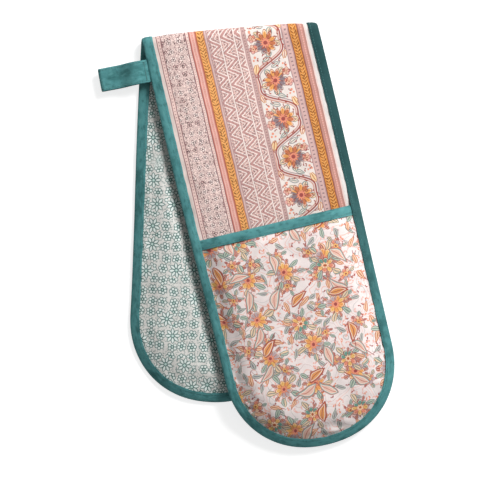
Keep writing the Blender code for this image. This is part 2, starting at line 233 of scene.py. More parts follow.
class Half:
    """One half of the strip, with the same coordinates as in the CAD model's source.

    s runs from the fold line to the round end, u across, and h towards the outer cover.
    On the ground, x runs along the fold and d away from it.
    """

    def __init__(self, name, side, length):
        self.name = name
        self.side = side
        self.straight = length - END_LENGTH
        self.mouth = length - POCKET_DEPTH

    def half_width(self, s):
        share = ease((s - TAPER_START) / (self.straight - TAPER_START))
        return mix(FOLD_WIDTH, END_WIDTH, share) / 2

    def edge_distance(self, s, u):
        wide = self.half_width(s)
        across = np.abs(u) / wide
        along = np.maximum(0, s - self.straight) / END_LENGTH
        reach = (across**END_ROUNDNESS + along**END_ROUNDNESS) ** (1 / END_ROUNDNESS)
        return wide * (1 - reach)

    def end(self, share, inset):
        rise = np.maximum(0, 1 - np.abs(share) ** END_ROUNDNESS) ** (1 / END_ROUNDNESS)
        return self.straight + (END_LENGTH - inset) * rise

    def place(self, s, u):
        x = self.side * (s * SINE + BEND_ARC / 2 * SINE / COSINE) + u * COSINE
        return x, self.from_fold(s, u)

    def from_fold(self, s, u):
        return s * COSINE - self.side * u * SINE

    def strip(self, x, d):
        x = x - self.side * BEND_ARC / 2 * SINE / COSINE
        return self.side * x * SINE + d * COSINE, x * COSINE - self.side * d * SINE

    def beyond(self, other, s, u):
        """How far a point lies outside the other half's outline."""
        return -other.edge_distance(*other.strip(*self.place(s, u)))

    def shoulder(self, s, u):
        return ease((self.edge_distance(s, u) - POCKET_INSET) / POCKET_SHOULDER)

    def lifted(self, s, u):
        """0 at the fold, on the table, and 1 where the half lies over the rear pocket."""
        return ease((self.from_fold(s, u) - LIFT_START) / (LIFT_END - LIFT_START))

    def pressed(self, s, u):
        """How far the front half presses the rear half's pad into its empty pocket."""
        if self.side > 0:
            return 0
        beside = 1 - ease(self.beyond(FRONT, s, u) / PRESS_RUN)
        return PRESS * beside * self.shoulder(s, u) * self.lifted(s, u)

    def level(self, s, u):
        """Height of the half's middle surface in the CAD model."""
        lifted = self.lifted(s, u)
        if self.side < 0:
            sag = REAR_SAG * (1 - self.shoulder(s, u))
            return mix(REST_HEIGHT, RAISED_HEIGHT, lifted) - sag * lifted
        sag = FRONT_SAG * ease(self.beyond(REAR, s, u) / FRONT_SAG_RUN)
        return mix(AXIS_HEIGHT + BEND_RADIUS, FRONT_HEIGHT, lifted) - sag

    def swell(self, s, u):
        """A slow rise and fall that both halves share."""
        x, d = self.place(s, u)
        return SWELL * waves(x, d, SWELL_LENGTH, 4) * ease((d - SWELL_START) / SWELL_RUN)

    def droop(self, s, u):
        """How far the sewn edge lies below the padded middle."""
        outward = ease(1 - self.edge_distance(s, u) / DROOP_REACH)
        free = self.lifted(s, u)
        if self.side > 0:
            free = ease(self.beyond(REAR, s, u) / OVERHANG_RUN)
        start = ease((self.from_fold(s, u) - DROOP_START) / DROOP_RUN)
        return EDGE_DROOP * outward * start * free

    def drawn(self, s, u):
        """u with the strip's slightly uneven width, which is the same on the fold line."""
        d = self.from_fold(s, u)
        if self.side > 0:
            right = mix(RIGHT_FOLD, RIGHT_END, np.clip(d / RIGHT_RUN, 0, 1))
            left = mix(LEFT_FOLD, LEFT_END, ease(d / LEFT_RUN))
        else:
            right, left = (mix(k, 1, ease(d / WIDTH_RUN)) for k in (RIGHT_FOLD, LEFT_FOLD))
        return u * np.where(u > 0, right, left)

    def point(self, s, u, h):
        """The place of a point of the half, as an array whose last axis is x, y, z."""
        drawn = self.drawn(s, u)
        by_fold = 1 - ease(self.from_fold(s, u) / WIDTH_RUN)
        x, d = self.place(s - self.side * (u - drawn) * SINE / COSINE * by_fold, drawn)
        middle = self.level(s, u) - self.droop(s, u) + self.swell(s, u)
        return to_world(x, -d, np.maximum(middle + self.side * h, TABLE_CLEARANCE))

    def pad(self, s, u):
        share = ease((self.edge_distance(s, u) - BINDING_WIDTH) / THINNING)
        return mix(SEWN_PAD, PAD, share)

    def puckers(self, s, u, seed):
        """Small folds that the tape's stitches draw into the cloth beside it."""
        inside = np.maximum(0, self.edge_distance(s, u) - BINDING_WIDTH)
        fade = np.exp(-inside / PUCKER_REACH) * ease(inside / PUCKER_START)
        fade = fade * ease(self.from_fold(s, u) / FOLD_FADE)
        return PUCKER * fade * waves(s, u, PUCKER_LENGTH, seed)

    def pocket_floor(self, s, u):
        """h of the pocket's lining, which comes down to the seam under the tape."""
        room = mix(SEAM_ROOM, HAND_ROOM, self.shoulder(s, u))
        tucked = SEWN_PAD / 2 + CLEARANCE
        free = self.pad(s, u) / 2 + room
        return mix(tucked, free, ease((self.edge_distance(s, u) - TUCK) / SEAM_RUN))

    def pocket_thickness(self, s, u):
        inside = ease((self.edge_distance(s, u) - TUCK) / THINNING)
        below = ease((s - self.mouth) / THINNING)
        return mix(MOUTH_EDGE, mix(TUCKED_POCKET, POCKET, inside), below)


FRONT = Half("front", 1, FRONT_LENGTH)
REAR = Half("rear", -1, REAR_LENGTH)


def to_world(x, y, z):
    """Puts points that are measured from the fold's axis in the shared frame."""
    x, y, z = np.broadcast_arrays(x, y, z)
    return np.stack((x + HINGE[0], y + HINGE[1], z), axis=-1)


def fold_width(across):
    return across * np.where(across > 0, RIGHT_FOLD, LEFT_FOLD)


def fold_angles():
    return np.linspace(-math.pi / 2, math.pi / 2, BEND_ROWS + 1)[:, None]


def fold_point(angle, across, h):
    """A point of the fold. The angle goes from the rear half, -90 degrees, to the front."""
    across = fold_width(across)
    bulge = FOLD_BULGE * (1 - (2 * across / FOLD_WIDTH) ** 2)
    x = (across + angle * BEND_RADIUS * SINE) / COSINE
    y = (BEND_RADIUS + bulge + h) * np.cos(angle)
    z = AXIS_HEIGHT + (BEND_RADIUS + h) * np.sin(angle)
    return to_world(x, y, np.maximum(z, TABLE_CLEARANCE))


def strip_uv(half, s, u):
    """Places on the unrolled strip in metres, so that a print runs on round the fold."""
    s, u = np.broadcast_arrays(s, half.drawn(s, u))
    return np.stack((u, s if half.side > 0 else -s - BEND_ARC / COSINE), axis=-1)


# Meshes.


def unit(vectors):
    size = np.linalg.norm(vectors, axis=-1, keepdims=True)
    return vectors / np.maximum(size, 1e-12)


def grid_normals(points):
    """Normals of a grid of points, smooth up to its borders."""
    down, across = np.gradient(points, axis=(0, 1), edge_order=2)
    return unit(np.cross(across, down))


def quads(corner, across, flip):
    """Four-sided faces between rows of vertices and the same rows one place on."""
    a, b, c, d = corner[:-1], across[:-1], across[1:], corner[1:]
    order = (a, d, c, b) if flip else (a, b, c, d)
    return np.stack(order, axis=-1).reshape(-1, 4).tolist()


def tube_faces(rows, columns, flip=False):
    """The faces of rings of vertices, with a cap at each end."""
    corner = np.arange(rows * columns).reshape(rows, columns)
    ends = [corner[0].tolist(), corner[-1].tolist()[::-1]]
    if not flip:
        ends = [end[::-1] for end in ends]
    return quads(corner, np.roll(corner, -1, axis=1), flip) + ends


def add_object(name, data):
    obj = bpy.data.objects.new(name, data)
    bpy.context.scene.collection.objects.link(obj)
    return obj


def make_object(name, points, faces, uv=None, normals=None):
    """A smooth mesh object, with its texture coordinates and normals given by vertex."""
    mesh = bpy.data.meshes.new(name)
    mesh.from_pydata(points.tolist(), [], faces)
    mesh.shade_smooth()
    if uv is not None:
        corners = np.empty(len(mesh.loops), np.int32)
        mesh.loops.foreach_get("vertex_index", corners)
        layer = mesh.uv_layers.new(name="strip")
        layer.data.foreach_set("uv", uv[corners].astype(np.float32).ravel())
    if normals is not None:
        mesh.normals_split_custom_set_from_vertices(normals.tolist())
    return add_object(name, mesh)


def dress(piece, slot, *nodes, fill=None):
    """Gives a piece its material and hides the CAD nodes it replaces."""
    piece.data.materials.append(LOOKS[slot])
    if nodes:
        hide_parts(*nodes)
    return piece


def border(corner):
    """The vertices round a grid, in order."""
    sides = (corner[0], corner[1:, -1], corner[-1, -2::-1], corner[-2:0:-1, 0])
    return np.concatenate(sides).tolist()


def make_shell(name, outer, inner, uv, outward, columns=slice(None)):
    """A closed piece between two grids of points.

    outward is 1 where the outer grid's normals point out, or else -1. columns takes a
    part of the grids, whose normals still come from the whole.
    """
    normals = (grid_normals(outer) * outward, grid_normals(inner) * -outward)
    outer, inner, uv = outer[:, columns], inner[:, columns], uv[:, columns]
    corner = np.arange(outer[..., 0].size).reshape(outer.shape[:2])
    count = corner.size
    flip = outward < 0
    faces = quads(corner[:, :-1], corner[:, 1:], flip)
    faces += quads(corner[:, :-1] + count, corner[:, 1:] + count, not flip)
    ring = border(corner)
    for a, b in zip(ring, ring[1:] + ring[:1]):
        face = [b, a, a + count, b + count]
        faces.append(face[::-1] if flip else face)
    points = np.concatenate((outer.reshape(-1, 3), inner.reshape(-1, 3)))
    normals = np.concatenate([sheet[:, columns].reshape(-1, 3) for sheet in normals])
    return make_object(name, points, faces, np.tile(uv.reshape(-1, 2), (2, 1)), normals)


def make_sweep(name, rings, uv, outward, part=slice(None)):
    """A closed piece through rings of points, each a row whose ends join up.

    part takes some of the rings, whose normals still come from the whole.
    """
    closed = np.concatenate((rings[:, -2:], rings, rings[:, :2]), axis=1)
    normals = (grid_normals(closed) * outward)[part, 2:-2].reshape(-1, 3)
    points = rings[part].reshape(-1, 3)
    faces = tube_faces(*rings[part].shape[:2], outward < 0)
    return make_object(name, points, faces, uv[part].reshape(-1, 2), normals)


def shares(count):
    """-1 to 1 in count steps, which grow narrower towards both ends."""
    return np.sin(np.linspace(-math.pi / 2, math.pi / 2, count + 1))


def end_shares():
    """0 to 1 down a column, in steps that grow narrower towards the round end."""
    return np.sin(np.linspace(0, math.pi / 2, END_ROWS + 1))[:, None]


def base_grid(half, inset):
    """(s, u) over a whole half, in rows from the fold line to the round end."""
    share = shares(COLUMNS)[None, :]
    start = half.side * share * (FOLD_WIDTH / 2 - inset) * SINE / COSINE
    above = mix(start, half.mouth, np.linspace(0, 1, FLAP_ROWS, endpoint=False)[:, None])
    below = mix(half.mouth, half.end(share, inset), end_shares())
    s = np.concatenate((above, below))
    return s, share * (half.half_width(s) - inset)


def make_cloth(name, lining, middle, cover, uv, outward):
    """A padded cover and lining, which meet in the middle of their wadding."""
    pad = make_shell(f"{name}_cover_pad", cover, middle, uv, outward)
    inside = make_shell(f"{name}_lining_pad", lining, middle, uv, -outward)
    nodes = (f"{name}_outer_cover", f"{name}_wadding")
    return [
        dress(pad, "banded_print", *nodes, fill=0.4),
        dress(inside, "lining_print", f"{name}_lining", fill=0.4),
    ]


def make_cover_and_lining(half):
    s, u = base_grid(half, BINDING_BULGE)
    thick = half.pad(s, u) / 2
    sunk = half.pressed(s, u)
    middle = half.point(s, u, sunk)
    cover = half.point(s, u, thick + sunk + half.puckers(s, u, 7))
    lining = half.point(s, u, -thick + sunk + half.puckers(s, u, 8))
    return make_cloth(half.name, lining, middle, cover, strip_uv(half, s, u), -half.side)


def make_fold():
    angle = fold_angles()[::-1]
    across = shares(COLUMNS)[None, :] * (FOLD_WIDTH / 2 - BINDING_BULGE)
    s = across * SINE / COSINE - (math.pi / 2 - angle) * BEND_RADIUS / COSINE
    uv = np.stack(np.broadcast_arrays(fold_width(across), s), axis=-1)
    inside = FOLD_WIDTH / 2 - np.abs(across) - BINDING_WIDTH
    thick = mix(SEWN_PAD, PAD, ease(inside / THINNING)) / 2
    sheets = (fold_point(angle, across, thick * k) for k in (-1, 0, 1))
    return make_cloth("fold", *sheets, uv, 1)


def section(low, high, width):
    """(insets, heights) round a tape's section: out, round the nose, back and inside.

    low and high are the faces of what it wraps. They and width run along the tape.
    """
    columns = (np.reshape(value, (-1, 1)) for value in (low, high, width))
    low, high, width = np.broadcast_arrays(*columns)
    middle = (low + high) / 2
    thick = (high - low) / 2 + LIP
    turn = np.linspace(0, 1, LIP_STEPS + 1)[None, 1:]
    inset = width * (1 - np.cos(turn * math.pi / 2) ** 0.9)
    rise = thick * (1 - (1 - inset / width) ** EDGE_FULLNESS) ** (1 / EDGE_FULLNESS)
    rise = rise - STITCH_DIP * np.array([0] * (LIP_STEPS - 3) + [0.2, 1, 0.2])
    inset = np.concatenate((inset, width + 0.0002, width + 0.00015), axis=1)
    rise = np.concatenate((rise, thick - LIP * 0.45, thick - LIP * 0.9), axis=1)
    inner = np.full_like(middle, BINDING_BULGE)
    insets = (inset[:, ::-1], np.zeros_like(middle), inset, inner, inner)
    heights = (middle - rise[:, ::-1], middle, middle + rise)
    heights += (high + CLEARANCE / 2, low - CLEARANCE / 2)
    return np.concatenate(insets, axis=1), np.concatenate(heights, axis=1)


def outline(half, inset):
    """(s, u) along the half's edge: down its left side, round the end and back up.

    inset is an array with one row for each step along the edge.
    """
    near_join = (JOIN + np.linspace(-0.0025, 0.0060, JOIN_STEPS)) / half.straight
    down = np.linspace(0, 1, SIDE_STEPS, endpoint=False)
    down = np.sort(np.concatenate((down, near_join)))
    turn = np.linspace(-math.pi / 2, math.pi / 2, TIP_STEPS + 1)
    left, tip, right = np.split(inset, [len(down), len(down) + TIP_STEPS + 1])
    parts = []
    for side, wide, share in ((-1, left, down), (0, tip, turn), (1, right, down[::-1])):
        share = share[:, None]
        if side:
            start = half.side * side * (FOLD_WIDTH / 2 - wide) * SINE / COSINE
            s, across = mix(start, half.straight, share), side
        else:
            across = np.sign(share) * np.abs(np.sin(share)) ** (2 / END_ROUNDNESS)
            rise = np.maximum(0, np.cos(share)) ** (2 / END_ROUNDNESS)
            s = half.straight + (END_LENGTH - wide) * rise
        parts.append((s, across * (half.half_width(s) - wide)))
    return (np.concatenate([part[k] for part in parts]) for k in (0, 1))


def run_along(points):
    """Distance along a row of points, from the first."""
    steps = np.linalg.norm(np.diff(points, axis=0), axis=1)
    return np.concatenate(([0], np.cumsum(steps)))


def tape_uv(rings):
    """Places on the tape in metres: across it, and along it from its first ring."""
    along, across = run_along(rings.mean(axis=1)), run_along(rings[0])
    return np.stack(np.broadcast_arrays(across, along[:, None]), axis=-1)


def make_tape(name, node, rings, outward, columns, side="", uv=None):
    """A tape through rings of points, with stitches at these places in its section."""
    uv = tape_uv(rings) if uv is None else uv
    tape = make_sweep(f"{name}_tape{side}", rings, uv, outward)
    stitches = tape_stitches(f"{name}_stitches{side}", rings, columns)
    return [dress(tape, "teal_tape", node), dress(stitches, "thread")]


def make_edge_binding(half):
    """The tape round the half, with its stitches, and the tape's length."""
    steps = 2 * (SIDE_STEPS + JOIN_STEPS) + TIP_STEPS + 1
    s, u = outline(half, np.zeros((steps, 1)))
    d = half.from_fold(s, u)
    width = mix(FOLD_TAPE, END_TAPE, ease(d / TAPE_TAPER)) * (1 if half.side > 0 else REAR_TAPE)
    width = width + TAPE_WAVE * waves(s, u, TAPE_WAVE_LENGTH, 21) * ease(d / FOLD_FADE)
    lump = MOUTH_LUMP * np.exp(-(((s - half.mouth - LUMP_PLACE) / LUMP_REACH) ** 2))
    pocket = (SEWN_POCKET + CLEARANCE) * ease((s - half.mouth) / POCKET_START + 1)
    insets, heights = section(-SEWN_PAD / 2, SEWN_PAD / 2 + pocket + lump, width)
    s, u = outline(half, insets)
    fade = ease(half.from_fold(s, u) / FOLD_FADE)
    swelling = 1 + TAPE_PUFF * waves(s, u, TAPE_PUFF_LENGTH, 23) * fade
    if half.side > 0:
        from_join = np.where(u < 0, s - JOIN, 1)  # far away on the other side
        swelling -= JOIN_DENT * np.exp(-((from_join / JOIN_CREASE) ** 2))
        swelling += JOIN_LUMP * ease(from_join / JOIN_STEP) * np.exp(-from_join / JOIN_FADE)
    rings = half.point(s, u, heights * swelling)
    name, node = f"{half.name}_edge", f"{half.name}_edge_binding"
    pieces = make_tape(name, node, rings, -half.side, EDGE_STITCHES)
    return pieces, run_along(rings.mean(axis=1))[-1]


def make_fold_binding(side, name, front_tape):
    """The tape on the fold's left or right edge. It goes on from the front half's tape."""
    angle = fold_angles()
    insets, heights = section(-SEWN_PAD / 2 + 0 * angle, SEWN_PAD / 2, FOLD_TAPE)
    rings = fold_point(angle, side * (FOLD_WIDTH / 2 - insets), heights)
    uv = tape_uv(rings)
    uv[..., 1] -= uv[-1, 0, 1]
    if side > 0:
        uv[..., 1] = front_tape - uv[..., 1]
    node = f"fold_binding_{name}"
    return make_tape("fold", node, rings, side, EDGE_STITCHES, f"_{name}", uv)


SIDES = (
    (-1, "left", slice(0, COLUMNS // 2 + 1)),
    (1, "right", slice(COLUMNS // 2, COLUMNS + 1)),
)


def make_pocket(half):
    """The pocket's two sides: the left and the right part of one padded shell."""
    share = shares(COLUMNS)[None, :]
    s = mix(half.mouth + BINDING_BULGE, half.end(share, TUCK), end_shares())
    u = share * (half.half_width(s) - TUCK)
    inside = half.edge_distance(s, u) - BINDING_WIDTH
    pull = half.puckers(s, u, 9) + half.puckers(s, u, 10)
    wave = POCKET_WAVE * waves(s, u, POCKET_WAVE_LENGTH, 12) * ease(inside / 0.02)
    floor = half.pocket_floor(s, u) + wave
    outer = half.point(s, u, floor + half.pocket_thickness(s, u) + pull)
    inner = half.point(s, u, floor)
    uv = strip_uv(half, s, u)
    layers = ("panel", "wadding", "lining", "margin")
    for side, name, part in SIDES:
        name = f"{half.name}_pocket_pad_{name}"
        pad = make_shell(name, outer, inner, uv, -half.side, part)
        nodes = (f"{half.name}_pocket_{layer}" for layer in layers)
        yield side, dress(pad, "pocket_print", *nodes, fill=0.5)


def make_mouth_tape(half):
    """The tape over the pocket's mouth and its stitches, in a left and a right part."""
    u = shares(COLUMNS) * (half.half_width(half.mouth) - TUCK)
    floor = half.pocket_floor(np.full_like(u, half.mouth), u)
    flat = ease((half.edge_distance(half.mouth, u) - TUCK) / MOUTH_RUN)
    thick = mix(MOUTH_TUCKED, SEWN_PAD, flat)
    insets, heights = section(floor, floor + thick, MOUTH_BAND)
    middle = (floor + thick / 2)[:, None]
    heights = middle + (heights - middle) * mix(MOUTH_PRESS, 1, flat)[:, None]
    u = u[:, None] + 0 * insets
    swelling = MOUTH_WAVE * waves(u, insets, MOUTH_WAVE_LENGTH, 31)
    rings = half.point(half.mouth + insets, u, heights + swelling)
    uv = tape_uv(rings)
    for side, name, part in SIDES:
        title = f"{half.name}_mouth_stitches_{name}"
        stitches = tape_stitches(title, rings[part], MOUTH_STITCHES)
        title = f"{half.name}_mouth_tape_{name}"
        tape = make_sweep(title, rings, uv, half.side, part)
        yield side, dress(tape, "teal_tape", f"{half.name}_mouth_binding")
        yield side, dress(stitches, "thread")


def loop_frame():
    """(root, outward, along) of the hanging loop on the front half's left edge."""
    s = LOOP_PLACE - LOOP_SHIFT
    wide = FRONT.half_width(s)
    x, d = FRONT.place(s, -wide)
    root = to_world(x, -d, FRONT.level(s, -wide))
    angle = math.radians(FOLD_SKEW - LOOP_TURN)
    outward = np.array((-math.cos(angle), -math.sin(angle), 0))
    return root, outward, np.array((math.sin(angle), -math.cos(angle), 0))


def loop_path():
    """(out, height) along the loop's tape: out below, round the far end and back."""
    radius = (LOOP_GAP + LOOP_TAPE) / 2
    bend = LOOP_REACH + LOOP_SLACK - radius - LOOP_TAPE / 2
    share = np.linspace(0, 1, LOOP_STEPS + 1)
    half_open = (mix(LOOP_ROOT_GAP, LOOP_GAP, ease(2 * share)) + LOOP_TAPE) / 2
    tucked = LOOP_TUCK * (1 - ease(share / TUCK_RUN))
    level = -LOOP_SAG * ease((share - SAG_START) / SAG_RUN) - tucked
    hump = LOOP_HUMP * np.exp(-(((share - HUMP_PLACE) / HUMP_REACH) ** 2))
    out = mix(-BINDING_BULGE, bend, share)
    turn = np.linspace(-math.pi / 2, math.pi / 2, 13)[1:-1]
    outs = (out, bend + radius * np.cos(turn), out[::-1])
    upper = level + half_open + hump
    heights = (level - half_open, radius * np.sin(turn) - LOOP_SAG, upper[::-1])
    return np.concatenate(outs), np.concatenate(heights)


def make_loop():
    """The hanging loop: a flat band of tape with two rows of stitches along its edges."""
    root, outward, along = loop_frame()
    outs, heights = loop_path()
    centre = root + outs[:, None] * outward + heights[:, None] * np.array((0, 0, 1))
    normal = unit(np.cross(unit(np.gradient(centre, axis=0)), along))
    share = np.linspace(-1, 1, 25)
    bulge = (1 - np.abs(share) ** 8) ** (1 / 3)
    groove = np.exp(-(((np.abs(share) - GROOVE_PLACE) / GROOVE_REACH) ** 2))
    half_thick = LOOP_TAPE / 2 * (0.35 + 0.65 * bulge - GROOVE_DEPTH * groove)
    across = np.concatenate((share, share[::-1])) * LOOP_WIDTH / 2
    offset = np.concatenate((half_thick, -half_thick[::-1]))
    rings = centre[:, None] + across[None, :, None] * along
    rings = rings + offset[None, :, None] * normal[:, None]
    x, y = rings[..., 0], rings[..., 1]
    rings[..., 2] += LOOP_WAVE * waves(x, y, LOOP_WAVE_LENGTH, 41)
    return make_tape("hanging_loop", "hanging_loop", rings, -1, LOOP_STITCHES)


def make_bar_tack():
    """A bar of close stitches across the loop's upper layer, near its root."""
    root, outward, along = loop_frame()
    place = TACK_INSET - BINDING_BULGE + TACK_WIDTH
    outs, heights = (values[: -LOOP_STEPS - 2 : -1] for values in loop_path())
    height = np.interp(place, outs, heights) + LOOP_TAPE / 2
    reach = LOOP_WIDTH / 2 - TACK_MARGIN
    at = np.linspace(-reach, reach, int(2 * reach / TACK_PITCH))
    spots = root + outward * place + np.array((0, 0, height)) + at[:, None] * along
    up = np.array((0.0, 0.0, 1.0))
    tack = build_stitches("loop_bar_tack_thread", spots, outward, up, TACK_WIDTH)
    return dress(tack, "thread", "loop_bar_tack")


# Stitches.


def build_stitches(name, spots, ahead, up, length):
    """Short lengths of thread, one on each spot, whose ends dip into the cloth."""
    ahead, up = (np.broadcast_to(v, spots.shape)[:, None, None] for v in (ahead, up))
    side = unit(np.cross(ahead, up))
    lengthwise = np.array((-1, -0.7, 0.7, 1))[:, None, None] * length / 2
    girth = np.array((0.3, 1, 1, 0.3))[:, None] * STITCH_WIDTH / 2
    drop = np.array((-1.1, 0, 0, -1.1))[:, None] * STITCH_WIDTH * 0.6
    turn = np.linspace(0, 2 * math.pi, 6, endpoint=False)
    aside = (girth * np.cos(turn))[..., None] * side
    rise = (girth * np.sin(turn) + drop)[..., None] * up
    points = spots[:, None, None] + lengthwise * ahead + aside + rise
    points[..., 2] = np.maximum(points[..., 2], TABLE_CLEARANCE / 2)
    one = tube_faces(len(girth), len(turn))
    starts = range(0, points[..., 0].size, girth.size * turn.size)
    faces = [[start + index for index in face] for start in starts for face in one]
    points = points.reshape(-1, 3)
    return make_object(name, points, faces, points[:, :2])


def tape_stitches(name, rings, columns):
    """Stitches along a tape, at one or more places in its section."""
    found = []
    for column in columns:
        places = rings[:, column]
        tangents = unit(np.gradient(places, axis=0))
        normals = unit(np.cross(tangents, rings[:, column + 1] - rings[:, column - 1]))
        outward = ((places - rings.mean(axis=1)) * normals).sum(axis=-1, keepdims=True)
        along = run_along(places)
        count = max(2, int(along[-1] / STITCH_PITCH))
        at = (np.arange(count) + 0.5) * along[-1] / count
        rows = np.concatenate((places, tangents, normals * np.sign(outward)), axis=1)
        found.append(np.stack([np.interp(at, along, row) for row in rows.T], axis=-1))
    spots, aheads, ups = np.split(np.concatenate(found), 3, axis=1)
    return build_stitches(name, spots + ups * STITCH_WIDTH * 0.3, aheads, ups, STITCH_LENGTH)


# Materials.

SOFT = 0.0003  # the width over which a printed edge fades
FINE = 0.0002


def ink(code):
    """A linear colour from its six-digit name."""
    values = [int(code[k : k + 2], 16) / 255 for k in (1, 3, 5)]
    linear = [v / 12.92 if v <= 0.04045 else ((v + 0.055) / 1.055) ** 2.4 for v in values]
    return (*linear, 1)


def connect(tree, value, socket):
    """Links a value or a socket, or sets a plain number or colour."""
    if isinstance(value, Value):
        value = value.socket
    if isinstance(value, bpy.types.NodeSocket):
        tree.links.new(value, socket)
    else:
        socket.default_value = ink(value) if isinstance(value, str) else value


def feed(tree, node, inputs):
    """Connects values to a node's inputs, which go by name or number."""
    for slot, value in dict(inputs).items():
        connect(tree, value, node.inputs[slot])
    return node


def add_node(tree, kind, inputs=(), **settings):
    """A node with these settings and inputs."""
    node = tree.nodes.new(f"ShaderNode{kind}")
    for name, value in settings.items():
        setattr(node, name, value)
    return feed(tree, node, inputs)


def math_method(operation):
    return lambda self, *others: self.math(operation, *others)


class Value:
    """A number in a material's nodes. Sums and functions of values add math nodes."""

    def __init__(self, tree, socket):
        self.tree = tree
        self.socket = socket

    def math(self, operation, *others):
        node = add_node(self.tree, "Math", enumerate((self, *others)), operation=operation)
        return Value(self.tree, node.outputs[0])

    __add__ = math_method("ADD")
    __sub__ = math_method("SUBTRACT")
    __mul__ = math_method("MULTIPLY")
    __truediv__ = math_method("DIVIDE")
    absolute = math_method("ABSOLUTE")
    sine = math_method("SINE")
    cosine = math_method("COSINE")
    fraction = math_method("FRACT")
    floor = math_method("FLOOR")
    power = math_method("POWER")
    most = math_method("MAXIMUM")
    ping_pong = math_method("PINGPONG")

    def opposite(self):
        """1 minus the value."""
        return (self * -1.0) + 1.0

    def ramp(self, low, high):
        """0 below low, 1 above high, and smooth between."""
        slots = {"Value": self, "From Min": low, "From Max": high}
        node = add_node(self.tree, "MapRange", slots, interpolation_type="SMOOTHSTEP")
        return Value(self.tree, node.outputs["Result"])

    def above(self, limit, soft=SOFT):
        """1 where the value is over the limit."""
        return self.ramp(limit - soft, limit + soft)

    def below(self, limit, soft=SOFT):
        """1 where the value is under the limit."""
        return self.above(limit, soft).opposite()

    def near(self, target, reach, soft=SOFT):
        """1 where the value is within reach of the target."""
        return (self - target).absolute().below(reach, soft)

    def within(self, low, high, soft=SOFT):
        return self.near((low + high) / 2, (high - low) / 2, soft)


class Painter:
    """Layers of colour in a tree of nodes."""

    def __init__(self, tree, colour):
        self.tree = tree
        self.colour = colour

    def blend_of(self, low, high, share):
        """A colour between two colours."""
        slots = {0: share, 6: low, 7: high}
        return add_node(self.tree, "Mix", slots, data_type="RGBA").outputs[2]

    def paint(self, colour, mask):
        """Covers the colour so far with another where the mask is 1."""
        self.colour = self.blend_of(self.colour, colour, mask)

    def stamp(self, motif, *values):
        """Paints a motif, whose nodes are made once and shared."""
        group = bpy.data.node_groups.get(motif.__name__) or make_motif(motif)
        slots = enumerate((self.colour, *values))
        self.colour = add_node(self.tree, "Group", slots, node_tree=group).outputs[0]


def make_motif(motif):
    """A group of nodes that paints a motif over the colour under it.

    Its inputs are named as in the motif's function: numbers up to keep, then colours.
    """
    names = list(inspect.signature(motif).parameters)[1:]
    last = names.index("keep") + 1
    numbers, colours = names[:last], names[last:]
    tree = bpy.data.node_groups.new(motif.__name__, "ShaderNodeTree")
    kinds = ["Color"] + ["Float"] * len(numbers) + ["Color"] * len(colours)
    for name, kind in zip(["under", *names], kinds):
        kind = f"NodeSocket{kind}"
        tree.interface.new_socket(name=name, in_out="INPUT", socket_type=kind)
    tree.interface.new_socket(name="colour", in_out="OUTPUT", socket_type="NodeSocketColor")
    given = tree.nodes.new("NodeGroupInput").outputs
    painter = Painter(tree, given[0])
    values = [Value(tree, given[name]) for name in numbers]
    motif(painter, *values, *(given[name] for name in colours))
    tree.links.new(painter.colour, tree.nodes.new("NodeGroupOutput").inputs[0])
    return tree


